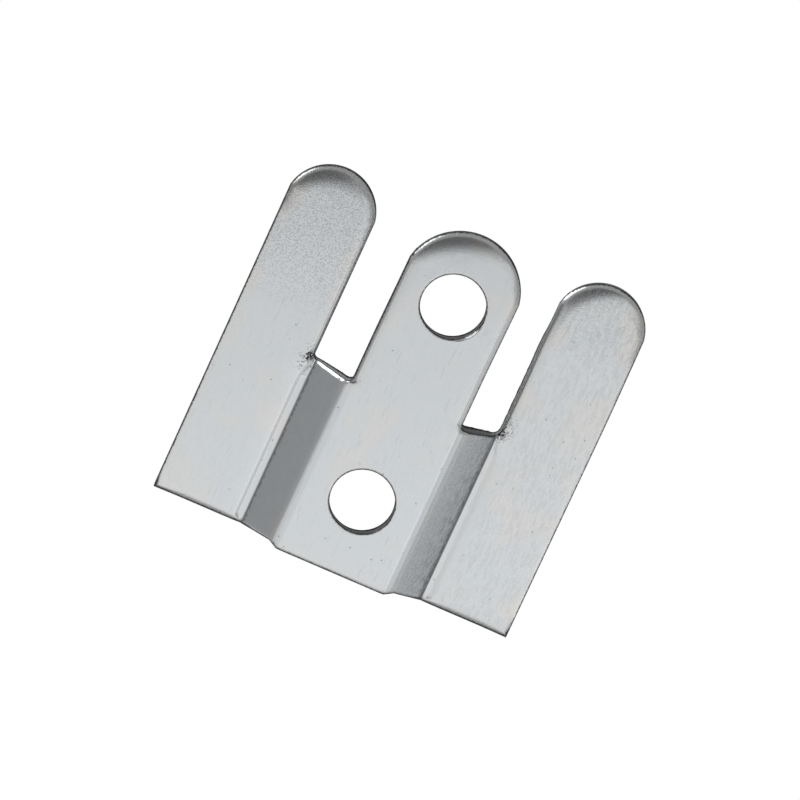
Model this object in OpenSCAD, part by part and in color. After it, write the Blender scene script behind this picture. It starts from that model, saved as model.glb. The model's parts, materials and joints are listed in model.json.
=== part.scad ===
// Interlocking flush hanger plate, pressed from one piece of zinc plated sheet steel.
// The centre tongue lies on the wall and takes two screws. Two wings stand off the wall on joggled
// walls, so that the wings of a second, inverted plate slide down behind them.
// Axes: +Z up along the tongues, -Y out of the face that lies on the wall, +X across the plate.
// Origin: on the wall face, halfway between the two screw holes.

/* [Sheet] */
// Thickness of the sheet
sheet_t = 1.2; // [0.9:0.1:1.5]
// Height of the plate, from the bottom edge to the tips
plate_h = 36.9; // [35:0.5:42]

/* [Tongues] */
// Width of the centre tongue
centre_w = 11.7; // [10:0.1:13]
// Width of each wing
wing_w = 9.1; // [8:0.1:11]
// Width of the slot on each side of the centre tongue
slot_w = 4.1; // [4.1:0.1:5]
// Height of the closed end of the slots above the bottom edge
slot_z = 18.35; // [16:0.25:20]
// Radius of the corners at the closed end of a slot
slot_r = 0.5; // [0.3:0.1:0.9]
// Angle of the slight corner where the round of a tip meets the straight side, in degrees
shoulder_angle = 11; // [4:1:16]

/* [Joggle] */
// Stand-off of the wings: distance from the wall face to the near face of a wing
stand_off = 3.2; // [2.6:0.1:3.5]
// Slope of the joggle walls, in degrees from the plane of the plate
wall_angle = 45; // [42:1:60]
// Radius on the inside of the bend at the centre tongue
centre_bend_r = 1; // [0.6:0.1:1.4]
// Radius on the inside of the bend at the foot of a wing
foot_bend_r = 0.2; // [0.1:0.05:0.4]
// Distance by which the foot of the joggle wall stands inside the slot edge of a wing
foot_inset = 0.33; // [0.2:0.01:0.5]
// Height by which the drawn wall pulls up the bottom edge
neck_h = 0.35; // [0.1:0.05:0.6]

/* [Screw holes] */
// Diameter of the two screw holes
hole_d = 6.4; // [4.2:0.1:6.8]
// Height of the lower hole above the bottom edge
hole_z = 7.8; // [6:0.1:9]
// Distance between the two holes
hole_pitch = 21.6; // [18:0.1:22]

/* [Rolled tips] */
// Width of the rolled edge at the top of a tip
roll_w = 1.8; // [1:0.1:2.2]
// Depth of the rolled edge at the top of a tip
roll_depth = 0.7; // [0.3:0.05:0.8]

/* [Hidden] */
$fn = 96;

// Overrun of every cut past the surface that it leaves
cut = 0.3;

// Length by which a bend laps into the straight sheet at each of its ends
lap = 0.1;

// Places across the plate, measured from the middle
slot_in_x = centre_w / 2;
slot_out_x = slot_in_x + slot_w;
plate_w = 2 * (slot_out_x + wing_w);
wing_x = slot_out_x + wing_w / 2;

// The joggle: the near face turns out of the wall plane at bend_x, and its wall would meet the
// near face of the wing at foot_x if that corner were sharp
bend_out_r = centre_bend_r + sheet_t;
foot_x = slot_out_x - foot_inset;
bend_x = foot_x - stand_off / tan(wall_angle) - bend_out_r * tan(wall_angle / 2);
wing_flat_x = foot_x + foot_bend_r * tan(wall_angle / 2);
bend_plan_w = bend_out_r * sin(wall_angle);
wall_l = (stand_off - (bend_out_r + foot_bend_r) * (1 - cos(wall_angle))) / sin(wall_angle);

// Where the pulled-up bottom edge begins and peaks, as shares of the bend's width in plan
neck_start_share = 0.2;
neck_peak_share = 0.78;

// Depth of the whole plate and height of its origin above the bottom edge
plate_depth = stand_off + sheet_t;
origin_z = hole_z + hole_pitch / 2;

// Radius of the round of a tip on a tongue of width w
function tip_r(w) = w / 2 / cos(shoulder_angle);

// A rolled edge is an arc, tangent to the near face, that reaches its depth at the rim
roll_arc_r = (pow(roll_w, 2) + pow(roll_depth, 2)) / (2 * roll_depth);

// Distance from the centre of a tip's round down to the axis that its roll turns about. The roll
// then fades to nothing at the shoulders of the tongue
function roll_drop(w) =
    let (r = tip_r(w), rise = r * sin(shoulder_angle))
    (pow(w / 2, 2) + pow(rise, 2) - pow(r - roll_w, 2)) / (2 * (r - roll_w - rise));

// Point at radius r and an angle turned from straight down towards +X, moved along the tangent
function turned(r, angle, along) =
    [r * sin(angle) + along * cos(angle), along * sin(angle) - r * cos(angle)];

// Cross-section of a bend about its own axis, from straight down through an angle towards +X. Its
// laps are level with the inside of the bend, so they stay within the straight sheet
module bend_section(r_in, angle) {
    r_out = r_in + sheet_t;
    reach = 2 * r_out;
    intersection() {
        difference() {
            circle(r_out);
            circle(r_in);
        }
        polygon([
            [0, 0],
            turned(r_in, 0, 0),
            turned(r_in, 0, -lap),
            turned(reach, 0, -lap),
            turned(reach, angle, lap),
            turned(r_in, angle, lap),
            turned(r_in, angle, 0)
        ]);
    }
}

// Right half of the sheet's cross-section, in X and Y
module half_section() {
    square([bend_x, sheet_t]);
    translate([bend_x, bend_out_r])
        bend_section(centre_bend_r, wall_angle);
    translate([bend_x, bend_out_r])
        rotate(wall_angle)
            translate([0, -bend_out_r])
                square([wall_l, sheet_t]);
    translate([wing_flat_x, stand_off - foot_bend_r])
        rotate(180)
            bend_section(foot_bend_r, wall_angle);
    translate([wing_flat_x, stand_off])
        square([plate_w / 2 - wing_flat_x, sheet_t]);
}

// The whole cross-section drawn up to the full height of the plate
module bent_sheet() {
    linear_extrude(plate_h)
        union() {
            half_section();
            mirror([1, 0])
                half_section();
        }
}

// One slot in plan, with round corners at its closed end
module slot_plan() {
    translate([slot_in_x, slot_z + slot_r])
        square([slot_w, plate_h]);
    translate([slot_in_x + slot_r, slot_z])
        square([slot_w - 2 * slot_r, plate_h]);
    for (x = [slot_in_x + slot_r, slot_out_x - slot_r])
        translate([x, slot_z + slot_r])
            circle(slot_r);
}

// What the round of a tip takes off a tongue of width w
module tip_waste_plan(w) {
    r = tip_r(w);
    difference() {
        translate([-w / 2 - cut, plate_h - r])
            square([w + 2 * cut, r + cut]);
        translate([0, plate_h - r])
            circle(r);
    }
}

// The sliver that the drawn wall pulls out of the bottom edge
module neck_plan() {
    start_x = bend_x + neck_start_share * bend_plan_w;
    peak_x = bend_x + neck_peak_share * bend_plan_w;
    polygon([
        [start_x, -cut],
        [start_x, 0],
        [peak_x, neck_h],
        [foot_x, 0],
        [foot_x, -cut]
    ]);
}

// Carries a plan, drawn in X and Z, through the whole depth of the plate
module through_plate() {
    translate([0, plate_depth + cut, 0])
        rotate([90, 0, 0])
            linear_extrude(plate_depth + 2 * cut)
                children();
}

// Everything that is cut right through the sheet
module plan_cuts() {
    through_plate() {
        tip_waste_plan(centre_w);
        for (side = [0, 1])
            mirror([side, 0]) {
                slot_plan();
                neck_plan();
                translate([wing_x, 0])
                    tip_waste_plan(wing_w);
            }
    }
}

// The two screw holes
module screw_holes() {
    for (z = [hole_z, hole_z + hole_pitch])
        translate([0, -cut, z])
            rotate([-90, 0, 0])
                cylinder(h = sheet_t + 2 * cut, d = hole_d);
}

// What the rolled edge takes off the tip of a tongue of width w whose near face is at height y
module tip_roll(w, x, y) {
    drop = roll_drop(w);
    axis_z = plate_h - tip_r(w) - drop;
    start_r = tip_r(w) + drop - roll_w;
    intersection() {
        translate([x - w / 2 - cut, y - 2 * cut, axis_z])
            cube([w + 2 * cut, sheet_t + 2 * cut, plate_h - axis_z + cut]);
        translate([x, y, axis_z])
            rotate([-90, 0, 0])
                rotate_extrude()
                    difference() {
                        translate([start_r, -cut])
                            square([roll_w + cut, roll_arc_r + cut]);
                        translate([start_r, roll_arc_r])
                            circle(roll_arc_r);
                    }
    }
}

// The pressed plate
module hanger_plate() {
    color([0.78, 0.79, 0.79])
        translate([0, 0, -origin_z])
            difference() {
                bent_sheet();
                plan_cuts();
                screw_holes();
                tip_roll(centre_w, 0, 0);
                for (side = [-1, 1])
                    tip_roll(wing_w, side * wing_x, stand_off);
            }
}

hanger_plate();
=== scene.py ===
"""Looks of a pressed hanger plate: its mesh, its zinc finish, the studio round it and the camera.

Lengths are in millimetres, also in the materials. The mesh is scaled to metres as its last step.
"""

import json
import logging
import math
from dataclasses import astuple, dataclass
from enum import Enum
from functools import reduce
from typing import Any

import bmesh
import bpy
from mathutils import Matrix, Vector, noise

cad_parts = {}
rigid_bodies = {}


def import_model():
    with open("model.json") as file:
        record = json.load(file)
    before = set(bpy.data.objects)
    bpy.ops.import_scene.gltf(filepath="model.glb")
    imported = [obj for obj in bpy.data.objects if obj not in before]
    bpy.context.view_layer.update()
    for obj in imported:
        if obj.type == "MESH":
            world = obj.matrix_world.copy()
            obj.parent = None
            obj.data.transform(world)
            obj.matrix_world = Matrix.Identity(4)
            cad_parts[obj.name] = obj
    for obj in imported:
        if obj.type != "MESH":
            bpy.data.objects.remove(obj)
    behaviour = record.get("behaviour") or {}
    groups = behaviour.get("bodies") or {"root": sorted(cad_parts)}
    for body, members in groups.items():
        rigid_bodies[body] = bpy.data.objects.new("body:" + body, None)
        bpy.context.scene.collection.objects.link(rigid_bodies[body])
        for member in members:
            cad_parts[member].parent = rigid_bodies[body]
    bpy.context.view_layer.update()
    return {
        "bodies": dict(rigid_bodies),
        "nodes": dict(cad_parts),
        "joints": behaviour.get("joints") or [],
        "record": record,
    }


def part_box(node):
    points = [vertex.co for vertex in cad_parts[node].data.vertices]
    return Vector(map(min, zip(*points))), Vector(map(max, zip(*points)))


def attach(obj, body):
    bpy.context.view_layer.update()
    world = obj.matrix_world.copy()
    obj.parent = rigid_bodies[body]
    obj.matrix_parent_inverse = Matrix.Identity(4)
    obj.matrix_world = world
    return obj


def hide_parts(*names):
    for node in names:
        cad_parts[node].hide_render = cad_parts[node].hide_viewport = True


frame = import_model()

MM = 0.001
NODE = "hanger_plate"
SAME_PLACE = 1e-4
AT_EDGE = 1e-3
Socket = bpy.types.NodeSocket
log = logging.getLogger("plate")


def smooth(value: float, low: float, high: float) -> float:
    """Eases from 0 at low to 1 at high, which may be less than low."""
    share = min(1.0, max(0.0, (value - low) / (high - low)))
    return share * share * (3.0 - 2.0 * share)


def add_object(name: str, data: bpy.types.ID) -> bpy.types.Object:
    """Adds an object to the scene.

    Args:
        name: Its name.
        data: What it shows.

    Returns:
        The object.
    """
    added = bpy.data.objects.new(name, data)
    bpy.context.scene.collection.objects.link(added)
    return added


class Side(Enum):
    """Half of the plate, by the sign of its X."""

    LEFT = -1
    RIGHT = 1


@dataclass(frozen=True)
class Unevenness:
    """A random waviness: how strong it is, how often it changes to the millimetre, and its own layer."""

    strength: float
    per_mm: float
    layer: float = 0.0

    def at(self, x: float, z: float, deep: float = 0.0) -> float:
        """Its value, of either sign, at a place."""
        return self.strength * noise.noise(Vector((x, self.layer + deep, z)) * self.per_mm)


@dataclass(frozen=True)
class Roll:
    """A rolled edge: the face leans down gently over a width and ends in a tight lip."""

    width: float
    lean: float
    lip_w: float
    lip_drop: float

    def drop(self, inward: float) -> float:
        """How far the surface lies below the face.

        Args:
            inward: Distance from the edge.

        Returns:
            The drop.
        """
        out = max(0.0, 1 - inward / self.width)
        lip = max(0.0, 1 - inward / self.lip_w)
        gentle = self.width / 2 * math.tan(math.radians(self.lean)) * out**2
        return gentle + self.lip_drop * (1 - math.sqrt(1 - lip**2))

    def toward(self, other: "Roll", share: float) -> "Roll":
        """Blends this roll with a share of another."""
        pairs = zip(astuple(self), astuple(other))
        return Roll(*(own + (far - own) * share for own, far in pairs))


@dataclass(frozen=True)
class TipRoll:
    """The round roll at the top of a tongue: it turns about an axis below the middle of the tip's round."""

    axis_x: float
    axis_z: float
    width: float
    lean: float
    shift_x: float
    shift_z: float
    fade_h: float = 3.5

    def drop(self, x: float, z: float, radius: float) -> float:
        """How far the surface lies below the face.

        Args:
            x: Place across the plate from the middle of the tip's round.
            z: Place up the plate from there.
            radius: Radius of the tip's round.

        Returns:
            The drop.
        """
        starts = radius + math.hypot(self.axis_x, self.axis_z) - self.width
        out = max(0.0, math.hypot(x - self.axis_x, z - self.axis_z) - starts)
        return smooth(z, -self.fade_h, 0) * math.tan(math.radians(self.lean)) * out**2 / (2 * self.width)


class Tip(Enum):
    """The tips of the three tongues, by how the press rolled them and how far off their places they are."""

    LEFT = TipRoll(0.55, -2.2, 2.2, 25, 0.0, 0.08)
    CENTRE = TipRoll(2.2, -5.2, 2.2, 25, 0.1, 0.0)
    RIGHT = TipRoll(1.6, -1.6, 1.9, 25, -0.1, 0.0)


class Edge(Enum):
    """The plate's edges, by how far the press has rolled them."""

    TIP_LIP = Roll(0.6, 6, 0.5, 0.32)
    CENTRE_FAR_LIP = Roll(0.85, 26, 0.35, 0.2)
    WING_FAR_LIP = Roll(1.1, 25, 0.4, 0.2)
    SLOT_SIDE = Roll(1.5, 4, 0.6, 0.34)
    OUTER_SIDE = Roll(1.0, 2, 0.2, 0.08)
    SLOT_END = Roll(0.6, 2, 0.36, 0.2)
    LEFT_SLOT_END = Roll(0.6, 2, 0.16, 0.1)
    SLOT_CORNER = Roll(0.7, 3, 0.45, 0.55)
    WING_FOOT = Roll(1.0, 5, 0.45, 0.2)
    CENTRE_FOOT = Roll(0.8, 3, 0.26, 0.1)
    HOLE = Roll(0.35, 1, 0.22, 0.14)


@dataclass
class Pen:
    """Draws a chain of edges in the XZ plane from where it stands."""

    bm: bmesh.types.BMesh
    at: bmesh.types.BMVert
    step: float = 0.35

    @classmethod
    def start(cls, bm: bmesh.types.BMesh, x: float, z: float) -> "Pen":
        """Puts a new pen down at a point of a mesh."""
        return cls(bm, bmesh.ops.create_vert(bm, co=(x, 0, z))["vert"][0])

    def hop(self, x: float, z: float) -> None:
        """Draws one edge to a point."""
        self.at = bmesh.ops.extrude_vert_indiv(self.bm, verts=[self.at])["verts"][0]
        self.at.co = (x, 0, z)

    def line(self, x: float, z: float, clear: float = 0.0) -> None:
        """Draws a straight line in steps, with none nearer than a distance to its ends.

        Args:
            x: Place across the plate of its end.
            z: Place up the plate of its end.
            clear: Length at each end that stays one edge.
        """
        start, end = self.at.co.copy(), Vector((x, 0, z))
        length = (end - start).length
        middle = length - 2 * clear
        if middle > self.step:
            count = round(middle / self.step)
            for index in range(count + 1):
                point = start.lerp(end, (clear + middle * index / count) / length)
                if 0 < index < count or clear > 0:
                    self.hop(point.x, point.z)
        self.hop(x, z)

    def arc(self, x: float, z: float, turn: float, step: float) -> None:
        """Draws an arc about a centre.

        Args:
            x: Place across the plate of the centre.
            z: Place up the plate of the centre.
            turn: Angle, in degrees, positive from +X towards +Z.
            step: Length of its edges.
        """
        centre = Vector((x, 0, z))
        length = (self.at.co - centre).length * math.radians(abs(turn))
        spun = bmesh.ops.spin(
            self.bm, geom=[self.at], cent=centre, axis=(0, -1, 0), dvec=(0, 0, 0),
            angle=math.radians(turn), steps=max(1, round(length / step)), use_duplicate=False,
        )
        self.at = spun["geom_last"][0]

    def tip(self, x: float, radius: float, turn: float, lead: float, tail: float) -> None:
        """Draws the round of a tip, from a shoulder on its right.

        Args:
            x: Place across the plate of its centre.
            radius: Its radius.
            turn: Angle, in degrees, that it goes through.
            lead: Length of its first edge, which keeps the rings inside it clear of the shoulder.
            tail: Length of its last edge.
        """
        z = self.at.co.z - math.sqrt(radius**2 - (self.at.co.x - x) ** 2)
        lead_turn, tail_turn = math.degrees(lead / radius), math.degrees(tail / radius)
        self.arc(x, z, lead_turn, lead)
        self.arc(x, z, turn - lead_turn - tail_turn, self.step / 2)
        self.arc(x, z, tail_turn, tail)


@dataclass
class PressedPlate:
    """The plate: one blank with rolled edges, joggled between its centre tongue and its wings.

    Most pairs are ranges, from where an effect begins to where it is full. The pairs of the two tears
    are how far each lies from its slot's corner, across and up the plate. The ring shares are the
    reaches of two finer cuts, as shares of the tear's radius.
    """

    half_w: float
    bottom_z: float
    top_z: float
    depth: float
    slot_mid_x: float
    slot_end_z: float
    hole_r: float
    hole_z: float
    sheet_t: float = 1.2
    slot_w: float = 4.1
    slot_r: float = 0.5
    shoulder_angle: float = 11.0
    wall_angle: float = 45.0
    centre_bend_r: float = 1.0
    foot_bend_r: float = 0.2
    foot_inset: float = 0.33
    neck_h: float = 0.38
    neck_start_share: float = 0.2
    neck_peak_share: float = 0.78
    groove_w: float = 0.6
    groove_shoulder_w: float = 0.42
    groove_depth: float = 0.03
    groove_dish_w: float = 0.6
    groove_dish_depth: float = 0.115
    groove_point_h: float = 0.9
    groove_run_in: float = 2.5
    groove_laps: tuple[float, float] = (0.02, 0.05)
    groove_fade_h: float = 0.5
    left_groove_fade_h: float = 2.2
    breakout: float = 0.05
    breakout_shares: tuple[float, float] = (0.38, 0.62)
    breakout_waves: Unevenness = Unevenness(0.7, 3.1)
    burr_w: float = 0.05
    burr_h: float = 0.03
    tear_r: float = 0.6
    tear_full_r: float = 0.1
    tear_h: float = 0.25
    tear_depth_share: float = 0.7
    tear_ripple: Unevenness = Unevenness(1.0, 4.1, 7)
    tear_crumbs: Unevenness = Unevenness(0.8, 8.3, 3)
    tear_ring_shares: tuple[float, float] = (1.6, 1.3)
    left_tear: tuple[float, float] = (-0.35, 0.0)
    right_tear: tuple[float, float] = (0.1, 0.45)
    slot_end_h: float = 1.0
    corner_roll_w: float = 1.5
    corner_roll_share: float = 0.6
    end_flare: float = 0.28
    left_end_flare: float = 0.2
    corner_flare: float = 0.1
    side_flare: float = 0.19
    side_flare_fade_h: float = 4.0
    corner_r: float = 0.9
    corner_fade_w: float = 1.0
    corner_reach: float = 0.4
    bevel_w: float = 0.4
    bevel_slope: float = 0.5
    bevel_gap: float = 0.05
    bevel_waves: Unevenness = Unevenness(0.25, 4.3, 1)
    scrape_depth: float = 0.24
    scrape_widths: tuple[float, float] = (0.3, 0.12)
    hole_wear: float = 0.13
    hole_wear_waves: Unevenness = Unevenness(0.6, 2.7, 5)
    foot_sag: float = 0.08
    foot_sag_h: float = 2.0
    foot_sag_xs: tuple[float, float] = (6.5, 5.3)
    tip_shift_hs: tuple[float, float] = (14.0, 4.0)
    sharp_angle: float = 38.0

    RINGS = (0.03, 0.07, 0.12, 0.19, 0.28, 0.4, 0.55, 0.75, 1.0, 1.3, 1.7, 2.2)
    HOLE_RINGS = (0.03, 0.07, 0.12, 0.2, 0.3, 0.4)
    RIM_SHARES = (0.2, 0.42, 0.5, 0.62, 0.76, 0.9)
    GROOVE_SHARES = (0, 0.15, 0.3, 0.45, 0.6, 0.8)
    SHOULDER_SHARES = (0, 0.2, 0.4, 0.6, 0.8, 1)
    DISH_SHARES = (0.25, 0.5, 1, 1.5, 2.2, 3)
    HOLE_MARGIN = 0.01
    SLOT_MARGIN = 0.1
    SQUARE_CLEAR = 2.5
    KINK_CLEAR = 0.5
    TIP_CLEAR = 0.6
    TIP_LIP_TURNS = (0, 30)
    TIP_START_TURNS = (-84, -70)
    CENTRE_END_TURNS = (85, 50)
    WING_END_TURNS = (105, 70)
    SCRAPED_SIDE = Vector((0.81, 0, -0.59))
    WORN_SIDE = Vector((0.9, 0, -0.44))

    @classmethod
    def from_frame(cls, packed: dict[str, Any]) -> "PressedPlate":
        """Takes the plate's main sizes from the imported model.

        Args:
            packed: The frame, as loaded.

        Returns:
            The plate.
        """
        low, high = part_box(NODE)
        mounts = {mount["name"]: mount for mount in packed["record"]["mounts"]}
        holes, seat = mounts["screw_holes"], mounts["right_slot_seat"]
        return cls(
            half_w=high[0] / MM,
            bottom_z=low[2] / MM,
            top_z=high[2] / MM,
            depth=high[1] / MM,
            slot_mid_x=seat["pos_m"][0] / MM,
            slot_end_z=seat["pos_m"][2] / MM,
            hole_r=holes["dims"]["hole_r_mm"],
            hole_z=holes["dims"]["spacing_y_mm"] / 2,
        )

    def __post_init__(self) -> None:
        """Works out the places that follow from the sizes."""
        angle = math.radians(self.wall_angle)
        self.stand_off = self.depth - self.sheet_t
        self.slot_in_x = self.slot_mid_x - self.slot_w / 2
        self.slot_out_x = self.slot_mid_x + self.slot_w / 2
        self.wing_x = (self.slot_out_x + self.half_w) / 2
        self.wing_r = self.tip_r(self.half_w - self.wing_x)
        self.centre_r = self.tip_r(self.slot_in_x)
        self.bend_r = self.centre_bend_r + self.sheet_t
        self.foot_x = self.slot_out_x - self.foot_inset
        self.bend_x = self.foot_x - self.stand_off / math.tan(angle) - self.bend_r * math.tan(angle / 2)
        self.wing_flat_x = self.foot_x + self.foot_bend_r * math.tan(angle / 2)
        self.groove_end_x = self.wing_flat_x + self.groove_w
        self.groove_flat_x = self.groove_end_x + self.groove_shoulder_w

    def tip_r(self, half_tongue_w: float) -> float:
        """Radius of the round of a tip."""
        return half_tongue_w / math.cos(math.radians(self.shoulder_angle))

    def outline(self, bm: bmesh.types.BMesh) -> None:
        """Draws the outline of the blank: the right half with a pen, the left half mirrored.

        Args:
            bm: The mesh that it goes into.
        """
        drop = math.sin(math.radians(self.shoulder_angle))
        round_turn = 180 - 2 * self.shoulder_angle
        bend_plan_w = self.bend_r * math.sin(math.radians(self.wall_angle))
        slot_step, quarter = 0.1, 90

        pen = Pen.start(bm, 0, self.bottom_z)
        pen.line(self.bend_x + self.neck_start_share * bend_plan_w, self.bottom_z, self.KINK_CLEAR)
        pen.hop(self.bend_x + self.neck_peak_share * bend_plan_w, self.bottom_z + self.neck_h)
        pen.line(self.foot_x, self.bottom_z, self.KINK_CLEAR)
        pen.line(self.half_w, self.bottom_z, self.SQUARE_CLEAR)
        pen.line(self.half_w, self.top_z - self.wing_r * (1 - drop), self.SQUARE_CLEAR)
        pen.tip(self.wing_x, self.wing_r, round_turn, self.TIP_CLEAR, self.TIP_CLEAR)
        pen.line(self.slot_out_x, self.slot_end_z + self.slot_r, self.KINK_CLEAR)
        pen.arc(self.slot_out_x - self.slot_r, self.slot_end_z + self.slot_r, -quarter, slot_step)
        pen.line(self.slot_in_x + self.slot_r, self.slot_end_z)
        pen.arc(self.slot_in_x + self.slot_r, self.slot_end_z + self.slot_r, -quarter, slot_step)
        pen.line(self.slot_in_x, self.top_z - self.centre_r * (1 - drop), self.KINK_CLEAR)
        pen.tip(0, self.centre_r, round_turn / 2, self.TIP_CLEAR, pen.step / 2)
        half = bm.verts[:] + bm.edges[:]
        bmesh.ops.mirror(bm, geom=half, matrix=Matrix(), merge_dist=SAME_PLACE, axis="X")

    def blank(self, bm: bmesh.types.BMesh) -> None:
        """Fills the outline with rings that follow its edge, and punches the two holes.

        Args:
            bm: The mesh that holds the outline.
        """
        inward = bm.verts.layers.float.new("edge_mm")
        face = bmesh.ops.contextual_create(bm, geom=bm.edges[:])["faces"][0]
        reached = 0.0
        for distance in self.RINGS:
            before = set(bm.verts)
            bmesh.ops.inset_individual(
                bm, faces=[face], thickness=distance - reached, depth=0, use_even_offset=True
            )
            reached = distance
            for vert in bm.verts:
                if vert not in before:
                    vert[inward] = distance
        border = list(face.edges)
        bmesh.ops.delete(bm, geom=[face], context="FACES_ONLY")
        for sign in (-1, 1):
            border += self.hole_rings(bm, inward, sign * self.hole_z)
        bmesh.ops.triangle_fill(bm, use_beauty=True, use_dissolve=False, edges=border)

    def hole_rings(
        self, bm: bmesh.types.BMesh, inward: bmesh.types.BMLayerItem, z: float
    ) -> list[bmesh.types.BMEdge]:
        """Makes the rings round a hole.

        Args:
            bm: The mesh that they go into.
            inward: Layer that holds each point's distance from the nearest edge.
            z: Place of the hole up the plate.

        Returns:
            The edges of the outermost ring.
        """
        centre = Matrix.Translation((0, 0, z))
        upright = Matrix.Rotation(math.radians(90), 4, "X")
        circle = bmesh.ops.create_circle(
            bm, cap_ends=False, segments=128, radius=self.hole_r, matrix=centre @ upright
        )
        edges = list({edge for vert in circle["verts"] for edge in vert.link_edges})
        radius = self.hole_r
        for distance in self.HOLE_RINGS:
            grown = bmesh.ops.extrude_edge_only(bm, edges=edges)["geom"]
            verts = [item for item in grown if isinstance(item, bmesh.types.BMVert)]
            edges = [item for item in grown if isinstance(item, bmesh.types.BMEdge)
                     and all(vert in verts for vert in item.verts)]
            factor = (self.hole_r + distance) / radius
            radius = self.hole_r + distance
            bmesh.ops.scale(bm, vec=(factor, 1, factor), space=centre.inverted(), verts=verts)
            for vert in verts:
                vert[inward] = self.RINGS[-1] if distance == self.HOLE_RINGS[-1] else distance
        return edges

    def fold_places(self) -> list[float]:
        """Places across the plate where its face starts, ends or goes on to turn.

        Returns:
            The places on the right half.
        """
        places = [self.wing_flat_x + self.groove_w * share for share in self.GROOVE_SHARES]
        places += [self.groove_end_x + self.groove_shoulder_w * share for share in self.SHOULDER_SHARES]
        places += [self.groove_flat_x + self.groove_dish_w * share for share in self.DISH_SHARES]
        for lie, steps in ((0.0, 12), (self.sheet_t, 9)):
            for step in range(steps + 1):
                sine = math.sin(math.radians(self.wall_angle) * step / steps)
                places.append(self.bend_x + (self.bend_r - lie) * sine)
                places.append(self.wing_flat_x - (self.foot_bend_r + lie) * sine)
        return sorted(places)

    def cut(self, bm: bmesh.types.BMesh, place: tuple[float, ...], normal: tuple[float, ...]) -> None:
        """Cuts every face of a mesh along the plane through a place with a normal, and keeps both sides."""
        everything = bm.verts[:] + bm.edges[:] + bm.faces[:]
        bmesh.ops.bisect_plane(bm, geom=everything, dist=SAME_PLACE, plane_co=place, plane_no=normal)

    def fold_lines(self, bm: bmesh.types.BMesh) -> None:
        """Cuts the flat blank along every line where the press turns it.

        Args:
            bm: The mesh of the blank.
        """
        for place in self.fold_places():
            for side in Side:
                self.cut(bm, (side.value * place, 0, 0), (1, 0, 0))

    def thicken(self, bm: bmesh.types.BMesh) -> None:
        """Gives the blank its thickness, with several levels round its sheared edges.

        Args:
            bm: The mesh of the blank.
        """
        raised = bmesh.ops.extrude_face_region(bm, geom=bm.faces[:])["geom"]
        verts = [item for item in raised if isinstance(item, bmesh.types.BMVert)]
        bmesh.ops.translate(bm, vec=(0, self.sheet_t, 0), verts=verts)
        for share in self.RIM_SHARES:
            self.cut(bm, (0, share * self.sheet_t, 0), (0, 1, 0))
        bmesh.ops.recalc_face_normals(bm, faces=bm.faces[:])

    def face_y(self, x: float, lie: float) -> float:
        """Depth of a face of the joggled sheet.

        Args:
            x: Place across the plate.
            lie: How deep the face lies in the sheet: 0 on the wall side, the thickness on the other.

        Returns:
            The face's depth behind the wall plane.
        """
        x, angle = abs(x), math.radians(self.wall_angle)
        bend_r, foot_r = self.bend_r - lie, self.foot_bend_r + lie
        bend_end_x = self.bend_x + bend_r * math.sin(angle)
        if x <= self.bend_x:
            return lie
        if x <= bend_end_x:
            return self.bend_r - math.sqrt(bend_r**2 - (x - self.bend_x) ** 2)
        if x >= self.wing_flat_x:
            return self.stand_off + lie
        if x >= self.wing_flat_x - foot_r * math.sin(angle):
            return self.stand_off - self.foot_bend_r + math.sqrt(foot_r**2 - (self.wing_flat_x - x) ** 2)
        return self.bend_r - bend_r * math.cos(angle) + (x - bend_end_x) * math.tan(angle)

    def groove_y(self, x: float, z: float) -> float:
        """Depth of the groove that the press leaves along the foot of the joggle wall.

        Args:
            x: Place across the plate.
            z: Place up the plate.

        Returns:
            The depth below the face of the wing.
        """
        fade_h = self.groove_fade_h if x > 0 else self.left_groove_fade_h
        clear = smooth(z, self.slot_end_z + self.groove_fade_h, self.slot_end_z - fade_h)
        x = abs(x)
        from_foot = smooth(z, self.bottom_z, self.bottom_z + self.groove_point_h)
        from_slot = smooth(z, self.slot_end_z, self.slot_end_z - self.groove_run_in)
        width = self.groove_w * from_foot * from_slot
        beyond = max(0.0, x - self.wing_flat_x - width)
        into = smooth(x, self.foot_x - self.groove_laps[0], self.wing_flat_x + self.groove_laps[1])
        floor = self.groove_depth * smooth(beyond, self.groove_shoulder_w, 0)
        dish = self.groove_dish_depth * math.exp(-beyond / self.groove_dish_w)
        return (floor + dish) * into * clear

    def tip_at(self, x: float) -> tuple[TipRoll, float, float]:
        """Tongue that a place across the plate is on.

        Args:
            x: The place.

        Returns:
            How its tip is rolled, the place of its middle, and the radius of its round.
        """
        if abs(x) < self.slot_mid_x:
            return Tip.CENTRE.value, 0.0, self.centre_r
        tip = Tip.RIGHT if x > 0 else Tip.LEFT
        return tip.value, math.copysign(self.wing_x, x), self.wing_r

    def slot_end_roll(self, x: float, z: float, inward: float) -> Roll:
        """Roll of the edge at the closed end of a slot.

        Args:
            x: Place across the plate.
            z: Place up the plate.
            inward: The point's distance from the nearest edge.

        Returns:
            The roll.
        """
        end = Edge.LEFT_SLOT_END.value
        if x > 0:
            corner = self.corner_roll_share * smooth(x, self.slot_out_x - self.corner_roll_w, self.slot_out_x)
            end = Edge.SLOT_END.value.toward(Edge.SLOT_CORNER.value, corner)
        upright = smooth(z, self.slot_end_z - inward, self.slot_end_z + self.slot_r)
        return end.toward(Edge.SLOT_SIDE.value, upright)

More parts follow.
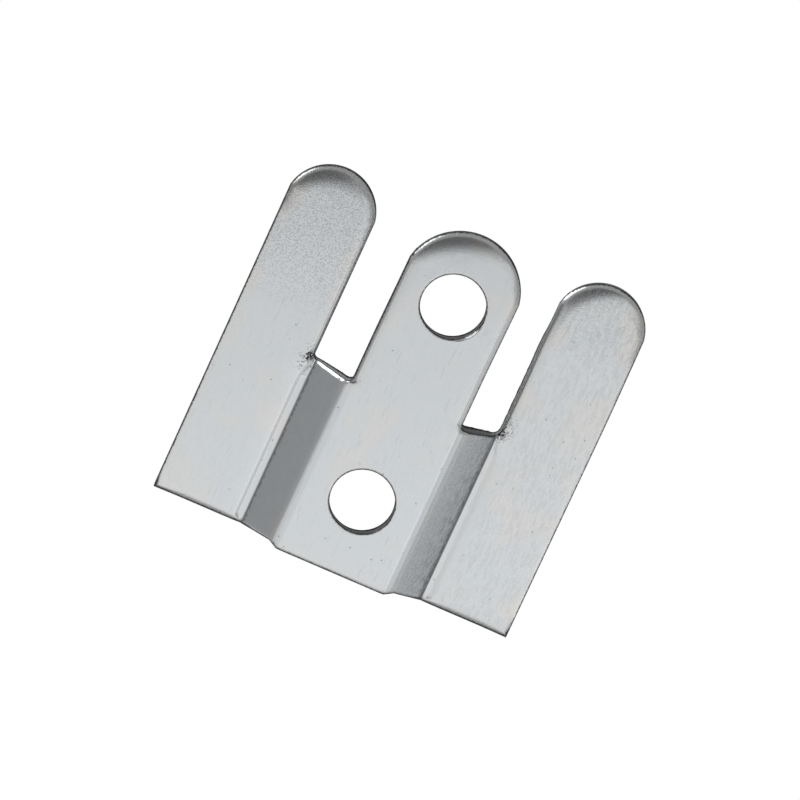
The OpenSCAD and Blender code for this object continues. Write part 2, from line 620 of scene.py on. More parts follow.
    def roll_at(self, x: float, z: float, inward: float) -> Roll:
        """Roll of the edge that is nearest to a point.

        Args:
            x: Place across the plate.
            z: Place up the plate.
            inward: The point's distance from the nearest edge.

        Returns:
            The roll.
        """
        to_hole = min(math.hypot(x, z - sign * self.hole_z) for sign in (-1, 1)) - self.hole_r
        if to_hole < inward + self.HOLE_MARGIN:
            return Edge.HOLE.value
        out_x, above_bottom = abs(x), z - self.bottom_z
        if above_bottom < self.SQUARE_CLEAR and above_bottom < self.half_w - out_x:
            at_centre = smooth(out_x, self.foot_x, self.bend_x)
            return Edge.WING_FOOT.value.toward(Edge.CENTRE_FOOT.value, at_centre)
        if z < self.slot_end_z + self.slot_r and abs(out_x - self.slot_mid_x) < self.slot_w / 2 + inward:
            return self.slot_end_roll(x, z, inward)
        _, middle, radius = self.tip_at(x)
        turned = math.degrees(math.atan2(x - middle, z - self.top_z + radius))
        side = Edge.OUTER_SIDE if out_x > self.wing_x else Edge.SLOT_SIDE
        far, ends = Edge.WING_FAR_LIP, self.WING_END_TURNS
        if middle == 0:
            far, ends = Edge.CENTRE_FAR_LIP, self.CENTRE_END_TURNS
        lip = Edge.TIP_LIP.value.toward(far.value, smooth(turned, *self.TIP_LIP_TURNS))
        return side.value.toward(lip, smooth(turned, *self.TIP_START_TURNS) * smooth(turned, *ends))

    def end_bevel(self, x: float, z: float, inward: float) -> float:
        """Depth of the ragged bevel at the closed end of the left slot.

        Args:
            x: Place across the plate.
            z: Place up the plate.
            inward: The point's distance from the nearest edge.

        Returns:
            The depth below the face.
        """
        along = (x + self.slot_mid_x) / (self.slot_w / 2 - self.bevel_gap)
        if abs(along) >= 1 or abs(z - self.slot_end_z) >= self.slot_end_h:
            return 0.0
        width = self.bevel_w * (1 - along**4) * (1 + self.bevel_waves.at(x, z))
        return self.bevel_slope * max(0.0, width - inward)

    def hole_scrape(self, x: float, z: float, inward: float) -> float:
        """Depth of the bevel that is worn on the lower right of the upper hole.

        Args:
            x: Place across the plate.
            z: Place up the plate.
            inward: The point's distance from the nearest edge.

        Returns:
            The depth below the face.
        """
        out = Vector((x, 0, z - self.hole_z))
        if z < 0 or out.length > self.hole_r + self.HOLE_RINGS[-1]:
            return 0.0
        width, flat_w = self.scrape_widths
        facing = smooth(out.normalized().dot(self.SCRAPED_SIDE), 0.9, 0.97)
        return self.scrape_depth * facing * min(1.0, max(0.0, (width - inward) / (width - flat_w)))

    def near_y(self, x: float, z: float, inward: float) -> float:
        """Depth of the wall side of the finished plate at a point.

        Args:
            x: Place across the plate.
            z: Place up the plate.
            inward: The point's distance from the nearest edge.

        Returns:
            The depth behind the wall plane.
        """
        tip, middle, radius = self.tip_at(x)
        rolled = self.roll_at(x, z, inward).drop(inward)
        rolled += tip.drop(x - middle, z - self.top_z + radius, radius)
        worn = self.end_bevel(x, z, inward) + self.hole_scrape(x, z, inward)
        return self.face_y(x, 0) + self.groove_y(x, z) + rolled + worn

    def far_y(self, x: float, inward: float) -> float:
        """Depth of the room side of the finished plate at a point, with its burr."""
        return self.face_y(x, self.sheet_t) - self.burr_h * smooth(inward, self.burr_w, 0)

    def press(self, bm: bmesh.types.BMesh) -> None:
        """Moves every point of the flat blank to where the press leaves it.

        Args:
            bm: The mesh of the thick, flat blank.
        """
        inward = bm.verts.layers.float["edge_mm"]
        lie = bm.verts.layers.float.new("lie_share")
        shift_from, shift_full = (self.top_z - height for height in self.tip_shift_hs)
        bm.normal_update()
        for vert in bm.verts:
            share = vert.co.y / self.sheet_t
            vert[lie] = share
            x, z, distance = vert.co.x, vert.co.z, vert[inward]
            near, far = self.near_y(x, z, distance), self.far_y(x, distance)
            if distance < AT_EDGE:
                out = Vector((vert.normal.x, 0, vert.normal.z)).normalized()
                ragged = 1 + self.breakout_waves.at(x, z, 2 * vert.co.y)
                back = self.breakout * smooth(share, *self.breakout_shares) * ragged
                vert.co += self.flare(x, z, out) * share - out * back
            vert.co += self.worn_rim(x, z) * (1 - share) + self.rounded(x, z, distance)
            low = smooth(z, self.bottom_z + self.foot_sag_h, self.bottom_z)
            vert.co.z -= self.foot_sag * low * smooth(abs(x), *self.foot_sag_xs)
            vert.co.y = near + (far - near) * share
            tip = self.tip_at(x)[0]
            vert.co += Vector((tip.shift_x, 0, tip.shift_z)) * smooth(z, shift_from, shift_full)

    def flare(self, x: float, z: float, out: Vector) -> Vector:
        """How far the far side of the sheet stands out into a slot beyond the wall side.

        Args:
            x: Place across the plate.
            z: Place up the plate.
            out: Direction out of the sheared edge.

        Returns:
            The offset.
        """
        shoulder_z = self.top_z - self.wing_r
        if abs(abs(x) - self.slot_mid_x) > self.slot_w / 2 + self.SLOT_MARGIN or z > shoulder_z:
            return Vector()
        at_end = z < self.slot_end_z + self.slot_end_h
        if x > self.slot_mid_x and at_end and out.x < -0.1 and out.z > 0.1:
            return Vector((self.side_flare * out.x, 0, self.corner_flare * out.z))
        if x > self.slot_mid_x and out.x < -0.9:
            return out * self.side_flare * smooth(z, shoulder_z, shoulder_z - self.side_flare_fade_h)
        if at_end and out.z > 0:
            least, most = (self.corner_flare, self.end_flare) if x > 0 else (0.0, self.left_end_flare)
            share = smooth(abs(x), self.slot_out_x, self.slot_in_x + 0.3)
            return Vector((0, 0, (least + (most - least) * share) * out.z))
        return Vector()

    def rounded(self, x: float, z: float, inward: float) -> Vector:
        """How far a point moves at the right slot's corner by the wing, which is rounder than the rest.

        Args:
            x: Place across the plate.
            z: Place up the plate.
            inward: The point's distance from the nearest edge.

        Returns:
            The offset.
        """
        reach = Vector((x - self.slot_out_x + self.corner_r, 0, z - self.slot_end_z - self.corner_r))
        wanted = self.corner_r + inward
        past = reach.length - wanted
        if inward > self.corner_fade_w or reach.x < 0 or reach.z > 0 or not 0 < past < self.corner_reach:
            return Vector()
        return reach.normalized() * -past * (1 - inward / self.corner_fade_w)

    def worn_rim(self, x: float, z: float) -> Vector:
        """How far the rim of a screw hole is worn back on the wall side.

        Args:
            x: Place across the plate.
            z: Place up the plate.

        Returns:
            The offset.
        """
        out = Vector((x, 0, z - math.copysign(self.hole_z, z)))
        near = smooth(out.length - self.hole_r, self.HOLE_RINGS[-1], 0)
        if near == 0:
            return Vector()
        out.normalize()
        facing = max(0.0, out.dot(self.WORN_SIDE))
        ragged = 1 + self.hole_wear_waves.at(x, z)
        return out * self.hole_wear * near * ragged * facing**2

    def torn_corners(self) -> list[Vector]:
        """Corners of the slots on the wings' side, where the press tears the metal."""
        tears = (Side.LEFT, self.left_tear), (Side.RIGHT, self.right_tear)
        return [Vector((side.value * self.slot_out_x + x, 0, self.slot_end_z + z)) for side, (x, z) in tears]

    def refine(self, bm: bmesh.types.BMesh) -> None:
        """Cuts the blank finer round the torn corners.

        Args:
            bm: The mesh of the blank.
        """
        for centre in self.torn_corners():
            for share in self.tear_ring_shares:
                near = [edge for edge in bm.edges
                        if all((vert.co - centre).length < self.tear_r * share for vert in edge.verts)]
                bmesh.ops.subdivide_edges(bm, edges=near, cuts=1, use_grid_fill=True)

    def tear(self, bm: bmesh.types.BMesh) -> None:
        """Raises the torn metal at the corners of the slots.

        Args:
            bm: The mesh of the pressed plate.
        """
        deepest = self.stand_off + self.sheet_t * self.tear_depth_share
        for centre in self.torn_corners():
            for vert in bm.verts:
                x, deep, z = vert.co
                near = smooth((Vector((x, 0, z)) - centre).length, self.tear_r, self.tear_full_r)
                if near > 0 and deep < deepest:
                    vert.co.y -= self.tear_h * near * (self.tear_ripple.at(x, z) + self.tear_crumbs.at(x, z))

    def build(self) -> bpy.types.Object:
        """Builds the plate's mesh.

        Returns:
            The plate, in metres, with the zinc in its first slot and the sheared edge in its second.
        """
        bm = bmesh.new()
        self.outline(bm)
        self.blank(bm)
        self.fold_lines(bm)
        self.refine(bm)
        self.thicken(bm)
        self.press(bm)
        self.tear(bm)
        inward = bm.verts.layers.float["edge_mm"]
        for face in bm.faces:
            face.smooth = True
            face.material_index = int(all(vert[inward] < AT_EDGE for vert in face.verts))
        for edge in bm.edges:
            edge.smooth = edge.calc_face_angle(0.0) < math.radians(self.sharp_angle)
        bmesh.ops.scale(bm, vec=(MM, MM, MM), verts=bm.verts)
        mesh = bpy.data.meshes.new("pressed_plate")
        bm.to_mesh(mesh)
        bm.free()
        plate = add_object("pressed_plate", mesh)
        weighted = plate.modifiers.new("even_shading", "WEIGHTED_NORMAL")
        weighted.keep_sharp = True
        weighted.weight = 50
        return plate


class Wiring:
    """Makes and joins the nodes of one node tree."""

    def __init__(self, tree: bpy.types.NodeTree) -> None:
        """Empties the tree that is wired."""
        self.tree = tree
        tree.nodes.clear()

    def node(self, kind: str, settings: dict[str, Any] | None = None, **inputs: Any) -> bpy.types.Node:
        """Adds a node.

        Args:
            kind: Its type, without the leading ShaderNode.
            settings: Its properties by name.
            **inputs: Values or sockets by input name, with underscores for spaces.

        Returns:
            The node.
        """
        node = self.tree.nodes.new("ShaderNode" + kind)
        for name, value in (settings or {}).items():
            setattr(node, name, value)
        for name, value in inputs.items():
            self.feed(node.inputs[name.replace("_", " ")], value)
        return node

    def feed(self, socket: Socket, value: Any) -> None:
        """Links a socket to an input, or sets its value.

        Args:
            socket: The input.
            value: A socket, or what the input is set to.
        """
        if isinstance(value, Socket):
            self.tree.links.new(value, socket)
        else:
            socket.default_value = value

    def maths(self, operation: str, *values: Any) -> Socket:
        """Adds a Math node.

        Args:
            operation: What it does.
            *values: Sockets or numbers.

        Returns:
            Its result.
        """
        node = self.node("Math", {"operation": operation})
        for socket, value in zip(node.inputs, values):
            self.feed(socket, value)
        return node.outputs[0]

    def times(self, *values: Any) -> Socket:
        """Product of sockets and numbers."""
        return reduce(lambda total, value: self.maths("MULTIPLY", total, value), values)

    def plus(self, *values: Any) -> Socket:
        """Sum of sockets and numbers."""
        return reduce(lambda total, value: self.maths("ADD", total, value), values)

    def minus(self, value: Any, *taken: Any) -> Socket:
        """What is left of a socket or number when others are taken off."""
        return reduce(lambda rest, other: self.maths("SUBTRACT", rest, other), taken, value)

    def most(self, *values: Any) -> Socket:
        """Greatest of sockets and numbers."""
        return reduce(lambda most, value: self.maths("MAXIMUM", most, value), values)

    def length(self, first: Socket, second: Socket) -> Socket:
        """Length of a vector in a plane, from its two parts."""
        return self.maths("SQRT", self.plus(self.times(first, first), self.times(second, second)))

    def ease(self, value: Socket, low: Any, high: Any, start: float = 0, end: float = 1) -> Socket:
        """Maps a value smoothly from one range to another.

        Args:
            value: The socket that is read.
            low: Where the result is start.
            high: Where the result is end. It may be less than low.
            start: Result at low.
            end: Result at high.

        Returns:
            The result.
        """
        node = self.node("MapRange", {"interpolation_type": "SMOOTHSTEP"})
        for name, item in (("Value", value), ("From Min", low), ("From Max", high),
                           ("To Min", start), ("To Max", end)):
            self.feed(node.inputs[name], item)
        return node.outputs[0]

    def window(self, value: Socket, rise: float, full: float, fade: float, gone: float) -> Socket:
        """1 where a value lies from full to fade, and 0 before rise and after gone."""
        return self.times(self.ease(value, rise, full), self.ease(value, gone, fade))

    def tint(self, share: Any, first: Any, second: Any, mode: str = "MIX") -> Socket:
        """Mixes two colours.

        Args:
            share: How much of the second.
            first: Socket or colour.
            second: Socket or colour.
            mode: Blending mode.

        Returns:
            The colour.
        """
        node = self.node("Mix", {"data_type": "RGBA", "blend_type": mode})
        colours = [socket for socket in node.inputs if socket.type == "RGBA"]
        for socket, value in zip([node.inputs[0]] + colours, (share, first, second)):
            self.feed(socket, value)
        return next(socket for socket in node.outputs if socket.type == "RGBA")


def rgb(red: float, green: float, blue: float) -> tuple[float, float, float, float]:
    """A solid colour."""
    return (red, green, blue, 1.0)


def new_material(name: str) -> bpy.types.Material:
    """Adds a material that has a node tree.

    Args:
        name: Its name.

    Returns:
        The material.
    """
    material = bpy.data.materials.new(name)
    material.use_nodes = True
    return material


class PlateWiring(Wiring):
    """Wires a finish of the plate, which reads places on it in millimetres."""

    def __init__(self, material: bpy.types.Material, plate: PressedPlate) -> None:
        """Adds the nodes that every finish reads.

        Args:
            material: The finish.
            plate: The plate.
        """
        super().__init__(material.node_tree)
        self.plate = plate
        metres = self.node("TexCoord").outputs["Object"]
        self.place = self.node("VectorMath", {"operation": "SCALE"}, Vector=metres, Scale=1 / MM).outputs[0]
        self.across, self.deep, self.up = self.node("SeparateXYZ", Vector=self.place).outputs
        self.aside = self.maths("ABSOLUTE", self.across)

    def read(self, layer: str) -> Socket:
        """Value of one of the mesh's own layers."""
        return self.node("Attribute", {"attribute_name": layer}).outputs["Fac"]

    def sided(self, left: float, right: float) -> Socket:
        """One value on the left half of the plate and another on the right."""
        return self.ease(self.across, -1, 1, left, right)

    def field(self, size: float, detail: float, place: Socket | None = None) -> Socket:
        """Soft random value round a half, with features of a size and so many octaves."""
        return self.node("TexNoise", Vector=place or self.place, Scale=1 / size, Detail=detail).outputs[0]

    def pits(self, spacing: float, size: float, gate: float, place: Socket | None = None) -> Socket:
        """Small round pits, at random in some cells of a pattern.

        Args:
            spacing: Size of the pattern's cells.
            size: Radius of a pit as a share of a cell.
            gate: Share of the cells that have none.
            place: Coordinates, where they aren't the plate's own.

        Returns:
            1 in a pit and 0 outside.
        """
        cells = self.node("TexVoronoi", Vector=place or self.place, Scale=1 / spacing)
        chance = self.node("SeparateColor", Color=cells.outputs["Color"]).outputs[0]
        there = self.ease(chance, gate, gate + 0.3)
        return self.times(self.ease(cells.outputs["Distance"], size * 1.8, size * 0.6), there)

    def left_slot_end(self) -> Socket:
        """Marks the closed end of the left slot.

        Returns:
            1 along the end and 0 elsewhere.
        """
        wing_x, centre_x = -self.plate.slot_out_x, -self.plate.slot_in_x
        along = self.window(self.across, wing_x + 0.15, wing_x + 0.45, centre_x - 0.25, centre_x - 0.05)
        return self.times(along, self.ease(self.maths("ABSOLUTE", self.up), 1.2, 0.9))

    def bump(self, strength: float, rise: float, height: Socket, **normal: Socket) -> Socket:
        """Normal of the surface when a height, times its full rise, is laid on a normal below it."""
        node = self.node("Bump", Strength=strength, Distance=rise * MM, Height=height, **normal)
        return node.outputs[0]

    def metal(self, **look: Any) -> None:
        """Ends the tree in bare metal, with the other inputs of its shader by name."""
        shader = self.node("BsdfPrincipled", Metallic=1.0, **look)
        self.node("OutputMaterial", Surface=shader.outputs[0])


@dataclass(frozen=True)
class ZincPlating:
    """Bright zinc plating: satin, cool grey with straw patches, fine dark pits and a few scratches, with
    painted shade along its edges and towards the foot of each joggle wall.

    The fields that end in _dark are how dark each kind of mark is.
    """

    cool: tuple[float, float, float] = (0.752, 0.786, 0.808)
    warm: tuple[float, float, float] = (0.81, 0.785, 0.75)
    dark: tuple[float, float, float] = (0.06, 0.062, 0.065)
    roughness: float = 0.185
    patch_size: float = 5.0
    cloud_size: float = 1.4
    grain_size: float = 0.09
    grain_h: float = 0.011
    dent_h: float = 0.01
    pit_dark: float = 0.6
    scratch_dark: float = 0.2
    pepper_dark: float = 0.28
    wear_and_shade_dark: float = 0.3
    crease_shade_dark: float = 0.85
    torn_dark: float = 1.0
    edge_shade_dark: float = 0.92
    edge_shade_w: float = 0.17

    def material(self, plate: PressedPlate) -> bpy.types.Material:
        """Builds the finish.

        Args:
            plate: The plate that it goes on.

        Returns:
            The material.
        """
        material = new_material("zinc_plating")
        wire = PlateWiring(material, plate)
        clouds = wire.field(self.cloud_size, 3)
        grain = wire.field(self.grain_size, 1)
        pits = wire.pits(0.85, 0.055, 0.55)
        scratches = self.scratches(wire)
        colour = self.sheen(wire, clouds, grain)
        marks = (
            (pits, self.pit_dark),
            (scratches, self.scratch_dark),
            (self.pepper(wire), self.pepper_dark),
            # blotches on the joggle walls, partly painted shade towards their feet
            (self.wall_wear_and_shade(wire), self.wear_and_shade_dark),
            # painted shade in the corner at the foot of each joggle wall
            (self.painted_crease_shade(wire), self.crease_shade_dark),
            (self.torn(wire), self.torn_dark),
            # painted shade along every edge
            (self.rim(wire), self.edge_shade_dark),
        )
        for mark, strength in marks:
            colour = wire.tint(wire.times(mark, strength), colour, rgb(*self.dark))

        coarse = wire.ease(wire.up, 4, 14, 0.2, 1.2)
        grained = wire.bump(1.0, self.grain_h, wire.times(grain, coarse))
        dents = wire.times(wire.plus(pits, wire.times(scratches, 0.5)), -1.0)
        dented = wire.bump(1.0, self.dent_h, dents, Normal=grained)
        rough = wire.plus(wire.ease(clouds, 0.3, 0.7, -0.006, 0.006), self.roughness)
        wire.metal(Base_Color=colour, Roughness=rough, Normal=dented)
        return material

    def sheen(self, wire: PlateWiring, clouds: Socket, grain: Socket) -> Socket:
        """Colour of the clean plating: straw in patches and near the edges, but not on the joggle walls.

        Args:
            wire: The tree.
            clouds: Field of broad, faint clouds.
            grain: Field of fine grain.

        Returns:
            The colour.
        """
        near_edge = wire.ease(wire.read("edge_mm"), 2.0, 0.2, 0, 0.3)
        warmth = wire.plus(wire.ease(wire.field(self.patch_size, 2), 0.5, 0.7, 0, 0.5), near_edge)
        wing_y = wire.plate.stand_off
        off_wall = wire.most(wire.ease(wire.deep, 0.9, 0.3), wire.ease(wire.deep, wing_y - 0.3, wing_y))
        colour = wire.tint(wire.times(warmth, off_wall), rgb(*self.cool), rgb(*self.warm))
        clouded = wire.ease(clouds, 0.3, 0.7, 0.994, 1.005)
        shade = wire.plus(clouded, wire.ease(grain, 0.3, 0.7, -0.015, 0.012))
        grey = wire.node("CombineColor", Red=shade, Green=shade, Blue=shade).outputs[0]
        return wire.tint(1.0, colour, grey, "MULTIPLY")

    def rim(self, wire: PlateWiring) -> Socket:
        """Painted shade: a dark, ragged line along every edge, wide along the bottom, thin at two edges of
        the slots.

        Args:
            wire: The tree.

        Returns:
            1 on the line and 0 away from it.
        """
        plate = wire.plate
        low = wire.ease(wire.up, plate.bottom_z + 1, plate.bottom_z + 0.5)
        on_wing = wire.ease(wire.aside, 8, 9.5, 0.3, 1.0)
        edge_x = plate.slot_out_x
        beside = wire.window(wire.across, edge_x - 0.55, edge_x - 0.25, edge_x + 0.45, edge_x + 0.75)
        above = wire.ease(wire.up, plate.slot_end_z + 0.75, plate.slot_end_z + 1.75)
        reach = wire.plus(
            self.edge_shade_w, wire.times(low, on_wing, 0.2), wire.times(wire.left_slot_end(), -0.12),
            wire.times(beside, above, -0.13),
        )
        ragged = wire.ease(wire.field(0.2, 2), 0.35, 0.65, -0.03, 0.04)
        return wire.ease(wire.maths("DIVIDE", wire.plus(wire.read("edge_mm"), ragged), reach), 1.0, 0.35)

    def pepper(self, wire: PlateWiring) -> Socket:
        """Fine dark specks, dense at the tips and on the right joggle wall.

        Args:
            wire: The tree.

        Returns:
            1 in a speck and 0 outside.
        """
        wing_y = wire.plate.stand_off
        left = wire.times(wire.ease(wire.up, 1, 9), wire.ease(wire.across, -8, -10))
        right = wire.times(wire.ease(wire.up, 8, 15, 0, 0.5), wire.ease(wire.across, 8, 10))
        centre = wire.times(wire.ease(wire.up, 13, 17, 0, 0.4), wire.ease(wire.aside, 8, 7))
        off_wing = wire.ease(wire.deep, wing_y + 0.05, wing_y - 0.1)
        wall = wire.times(wire.ease(wire.across, 5.9, 7.2), off_wing, wire.ease(wire.up, 0.5, 0, 0, 0.75))
        specks = wire.most(wire.pits(0.17, 0.36, 0.1), wire.pits(0.4, 0.17, 0.5))
        return wire.times(specks, wire.most(0.08, left, right, centre, wall))

    def wall_wear_and_shade(self, wire: PlateWiring) -> Socket:
        """Blotches that the press leaves on the joggle walls, drawn out along them, with painted shade: they
        darken down each wall towards its foot by the wing.

        Args:
            wire: The tree.

        Returns:
            1 in a blotch and 0 outside.
        """
        wing_y = wire.plate.stand_off
        on_wall = wire.window(wire.deep, 0.9, 1.6, wing_y - 0.1, wing_y + 0.05)
        # painted shade: darker towards the foot of the wall, in the corner by the wing
        deep = wire.ease(wire.deep, 1.0, wing_y - 0.1, 0.35, 1.0)
        drawn = wire.node("Mapping", Vector=wire.place, Scale=(1, 1, 0.3)).outputs[0]
        spots = wire.ease(wire.field(0.28, 3, drawn), 0.42, 0.66)
        return wire.times(on_wall, deep, wire.sided(0.15, 1.0), spots)

    def torn(self, wire: PlateWiring) -> Socket:
        """Bare torn metal at the wing-side corner of each slot, with crumbs round it.

        Args:
            wire: The tree.

        Returns:
            1 on torn metal and 0 elsewhere.
        """
        corner_x, corner_z = wire.plate.slot_out_x, wire.plate.slot_end_z
        across = wire.minus(wire.aside, wire.sided(corner_x + 0.47, corner_x + 0.12))
        up = wire.minus(wire.up, wire.sided(corner_z + 0.05, corner_z + 0.5))
        out = wire.times(wire.minus(across, up), wire.sided(0.85, 1.6))
        in_tear = wire.ease(wire.length(wire.plus(across, up), out), 0.66, 0.5)
        spots = wire.times(wire.ease(wire.field(0.2, 1), 0.47, 0.51), in_tear)
        drawn = wire.times(wire.plus(up, wire.sided(0.4, -0.6)), 0.65)
        near = wire.ease(wire.length(across, drawn), 1.6, 0.4, 0, 0.7)
        crumbs = wire.times(wire.pits(0.2, 0.34, 0.35), near)
        return wire.times(wire.most(spots, crumbs), wire.ease(wire.read("lie_share"), 0.9, 0.6))

    def scratches(self, wire: PlateWiring) -> Socket:
        """A few short, thin scratches.

        Args:
            wire: The tree.

        Returns:
            1 in a scratch and 0 outside.
        """
        marks = []
        for turn, stretch in ((0.5, 30.0), (-0.9, 42.0)):
            turned = wire.node("Mapping", Vector=wire.place, Rotation=(0, turn, 0), Scale=(stretch, 1, 1))
            marks.append(wire.pits(2.6, 0.16, 0.75, turned.outputs[0]))
        return wire.most(*marks)

    def painted_crease_shade(self, wire: PlateWiring) -> Socket:
        """Painted shade: a dark line in the corner at the foot of each joggle wall, where shade falls.

        Args:
            wire: The tree.

        Returns:
            1 in the corner and 0 away from it.
        """
        plate = wire.plate
        ragged = wire.ease(wire.field(0.4, 3), 0.35, 0.65, -0.08, 0.06)
        off = wire.maths("DIVIDE", wire.minus(plate.foot_x, wire.aside, ragged), wire.sided(0.26, 0.5))
        past = wire.minus(wire.aside, wire.sided(0.0, 0.1))
        line = wire.times(
            wire.ease(wire.minus(1.0, off), 0.0, 1.2),
            wire.ease(past, plate.foot_x + 0.09, plate.foot_x - 0.01),
            wire.sided(0.65, 0.85),
        )
        below = wire.ease(wire.up, plate.slot_end_z + 0.15, plate.slot_end_z - 0.15)
        front = wire.ease(wire.deep, plate.stand_off + 0.3, plate.stand_off + 0.1)
        return wire.times(line, below, front)


@dataclass(frozen=True)
class ShearedEdge:
    """The sheared edge of the sheet: burnished where the punch went in, then torn metal, both partly their
    own grey and partly painted shade, much darker than bare steel and nearly black where torn; lighter grey
    on the right wing, with a painted highlight at the closed end of the left slot.
    """

    # partly the edge's own grey, partly painted shade: much darker than bare steel
    burnished: tuple[float, float, float] = (0.24, 0.245, 0.25)
    wing_side_grey: tuple[float, float, float] = (0.5, 0.51, 0.51)
    painted_highlight: tuple[float, float, float] = (0.62, 0.63, 0.64)
    # partly the edge's own colour, partly painted shade: nearly black
    torn: tuple[float, float, float] = (0.03, 0.031, 0.033)
    tears_from: float = 0.6
    roughness: float = 0.45
    streak_size: float = 0.25
    streak_h: float = 0.03

    def material(self, plate: PressedPlate) -> bpy.types.Material:
        """Builds the finish.

        Args:
            plate: The plate that it goes on.

        Returns:
            The material.
        """
        material = new_material("sheared_edge")
        wire = PlateWiring(material, plate)
        streaks = wire.field(self.streak_size, 2)
        lie = wire.plus(wire.read("lie_share"), wire.ease(streaks, 0.3, 0.7, -0.08, 0.08))
        torn = wire.ease(lie, self.tears_from, self.tears_from + 0.1)
        on_right_wing = wire.ease(wire.across, plate.slot_out_x - 0.95, plate.slot_out_x - 0.25)
        # the edge is a lighter grey on the right wing
        smooth_part = wire.tint(on_right_wing, rgb(*self.burnished), rgb(*self.wing_side_grey))
        # painted highlight: the edge is painted light at the closed end of the left slot
        smooth_part = wire.tint(wire.left_slot_end(), smooth_part, rgb(*self.painted_highlight))
        colour = wire.tint(torn, smooth_part, rgb(*self.torn))
        streaked = wire.bump(0.4, self.streak_h, streaks)
        wire.metal(Base_Color=colour, Roughness=self.roughness, Normal=streaked)
        return material


@dataclass(frozen=True)
class Camera:
    """The camera, placed by the plate as the photograph shows it."""

    roll: float = -24.817
    pitch: float = 13.481
    yaw: float = 5.927
    distance: float = 646.9
    foot_right: float = -6.908
    foot_up: float = -16.852
    lens: float = 295.98

    def to_view(self, bottom_z: float) -> Matrix:
        """Matrix from the plate's frame to the view.

        Args:
            bottom_z: Height of the plate's bottom edge.

        Returns:
            The matrix, for lengths in metres.
        """
        lie = Matrix(((1, 0, 0), (0, 0, 1), (0, -1, 0))).to_4x4()
        turn = (
            Matrix.Rotation(math.radians(self.roll), 4, "Z")
            @ Matrix.Rotation(math.radians(self.pitch), 4, "X")
            @ Matrix.Rotation(math.radians(self.yaw), 4, "Y")
        )
        shift = Vector((self.foot_right, self.foot_up, -self.distance)) * MM
        foot = Vector((0, 0, -bottom_z)) * MM
        return Matrix.Translation(shift) @ turn @ lie @ Matrix.Translation(foot)

    def place(self, bottom_z: float) -> bpy.types.Object:
        """Adds the camera to the scene.

        Args:
            bottom_z: Height of the plate's bottom edge.

        Returns:
            The camera.
        """
        data = bpy.data.cameras.new("camera")
        data.lens = self.lens
        data.sensor_width = 36
        data.clip_start = 0.01
        camera = add_object("camera", data)
        camera.matrix_world = self.to_view(bottom_z).inverted()
        bpy.context.scene.camera = camera
        return camera


def seen_from(camera: bpy.types.Object, aside: float, above: float) -> Vector:
    """Direction from the plate that angles in the camera's view give.

    Args:
        camera: The camera.
        aside: Angle to the right of the camera, in degrees.
        above: Angle above the camera, in degrees.

    Returns:
        The direction.
    """
    right, up = math.radians(aside), math.radians(above)
    out = Vector((math.sin(right) * math.cos(up), math.sin(up), math.cos(right) * math.cos(up)))
    return camera.matrix_world.to_3x3() @ out


@dataclass(frozen=True)
class Softbox:
    """A soft light. Its place and its size are angles in the camera's view, seen from the plate."""

    name: str
    aside: float
    above: float
    wide: float
    high: float
    level: float
    distance_m: float = 0.8

    def place(self, camera: bpy.types.Object) -> None:
        """Adds the light to the scene, turned to the plate.

        Args:
            camera: The camera whose view the angles are in.
        """
        out = seen_from(camera, self.aside, self.above)
        across = (camera.matrix_world.to_3x3() @ Vector((0, 1, 0))).cross(out).normalized()
        turn = Matrix((across, out.cross(across), out)).transposed().to_4x4()
        data = bpy.data.lights.new(self.name, "AREA")
        data.shape = "RECTANGLE"
        data.size = 2 * self.distance_m * math.tan(math.radians(self.wide) / 2)
        data.size_y = 2 * self.distance_m * math.tan(math.radians(self.high) / 2)
        data.energy = self.level * math.pi * data.size * data.size_y
        light = add_object(self.name, data)
        light.matrix_world = Matrix.Translation(out * self.distance_m) @ turn
        light.visible_camera = False


@dataclass(frozen=True)
class Shade:
    """A dark part of the room. Its place is given by angles in the camera's view."""

    aside: float
    above: float
    inner: float
    outer: float
    level: float


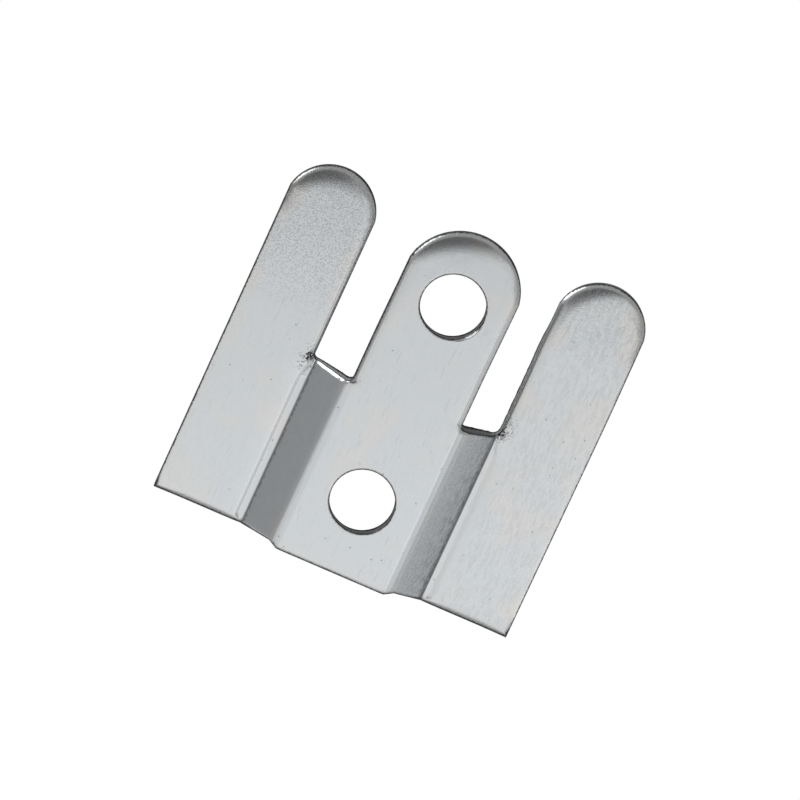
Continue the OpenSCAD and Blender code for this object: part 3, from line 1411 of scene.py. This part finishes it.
@dataclass(frozen=True)
class Studio:
    """A pale floor that fades into a white backdrop, and soft light. Its own lengths are in metres."""

    floor_drop: float = 0.1
    floor_r: float = 0.24
    fade_from: float = 0.08
    fade_to: float = 0.2
    room: float = 0.35
    shades: tuple[Shade, ...] = (
        Shade(-4, 8, 14, 25, 0.13),
        Shade(110, 25, 20, 35, 0.08),
        Shade(-86, 8, 14, 28, 0.315),
    )
    softboxes: tuple[Softbox, ...] = (
        Softbox("key_panel", -3, -35.5, 29, 10, 0.545, 0.35),
        Softbox("upper_key_panel", -7, -25.5, 50, 10, 0.42, 0.35),
        Softbox("left_panel", -31.5, -15, 37, 10, 0.39, 0.35),
        Softbox("right_panel", 22, -13, 26, 14, 0.4, 0.35),
        Softbox("low_right_panel", 26, -42, 29, 14, 0.36, 0.35),
        Softbox("outer_right_panel", 58, -42, 28, 18, 0.17),
        Softbox("far_right_panel", 98, -37, 40, 26, 0.13),
        Softbox("top_panel", -78, 52, 40, 32, 2.0),
    )

    def backdrop(self, camera: bpy.types.Object) -> None:
        """Sets the world: a white backdrop for the camera, and a grey room that is dark round the camera.

        Args:
            camera: The camera.
        """
        world = bpy.data.worlds.new("studio")
        world.use_nodes = True
        wire = Wiring(world.node_tree)
        level: Any = self.room
        for shade in self.shades:
            towards = wire.node("VectorMath", {"operation": "DOT_PRODUCT"})
            wire.feed(towards.inputs[0], wire.node("TexCoord").outputs["Generated"])
            wire.feed(towards.inputs[1], tuple(seen_from(camera, shade.aside, shade.above)))
            inner, outer = (math.cos(math.radians(angle)) for angle in (shade.inner, shade.outer))
            level = wire.ease(towards.outputs["Value"], outer, inner, level, shade.level)
        room = wire.node("Background", Color=rgb(1, 1, 1), Strength=level).outputs[0]
        white = wire.node("Background", Color=rgb(1, 1, 1), Strength=1.0).outputs[0]
        mixed = wire.node("MixShader", Fac=wire.node("LightPath").outputs["Is Camera Ray"])
        wire.feed(mixed.inputs[1], room)
        wire.feed(mixed.inputs[2], white)
        wire.node("OutputWorld", Surface=mixed.outputs[0])
        bpy.context.scene.world = world

    def floor(self, bottom_z: float) -> bpy.types.Object:
        """Adds the floor below the plate.

        Args:
            bottom_z: Height of the plate's bottom edge, in millimetres.

        Returns:
            The floor.
        """
        bm = bmesh.new()
        height = Matrix.Translation((0, 0, bottom_z * MM - self.floor_drop))
        bmesh.ops.create_circle(bm, cap_ends=True, segments=96, radius=self.floor_r, matrix=height)
        mesh = bpy.data.meshes.new("floor")
        bm.to_mesh(mesh)
        bm.free()
        material = new_material("pale_floor")
        wire = Wiring(material.node_tree)
        split = wire.node("SeparateXYZ", Vector=wire.node("TexCoord").outputs["Object"]).outputs
        away = wire.ease(wire.length(split[0], split[1]), self.fade_from, self.fade_to)
        pale = wire.node("BsdfDiffuse", Color=rgb(0.9, 0.9, 0.9)).outputs[0]
        white = wire.node("Emission", Color=rgb(1, 1, 1), Strength=1.0).outputs[0]
        mixed = wire.node("MixShader", Fac=wire.times(wire.node("LightPath").outputs["Is Camera Ray"], away))
        wire.feed(mixed.inputs[1], pale)
        wire.feed(mixed.inputs[2], white)
        wire.node("OutputMaterial", Surface=mixed.outputs[0])
        mesh.materials.append(material)
        return add_object("floor", mesh)


def main() -> None:
    """Builds the plate, its finish, the studio and the camera, and reports each piece."""
    logging.basicConfig(level=logging.INFO, format="%(name)s: %(message)s")
    plate = PressedPlate.from_frame(frame)
    camera = Camera().place(plate.bottom_z)
    piece = plate.build()
    for finish in (ZincPlating(), ShearedEdge()):
        piece.data.materials.append(finish.material(plate))
    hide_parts(NODE)
    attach(piece, "root")
    log.info("%s: %d faces", piece.name, len(piece.data.polygons))

    studio = Studio()
    studio.backdrop(camera)
    for softbox in studio.softboxes:
        softbox.place(camera)
        log.info("%s placed", softbox.name)
    studio.floor(plate.bottom_z)
    bpy.context.scene.view_settings.view_transform = "Standard"


if __name__ == "__main__":
    main()
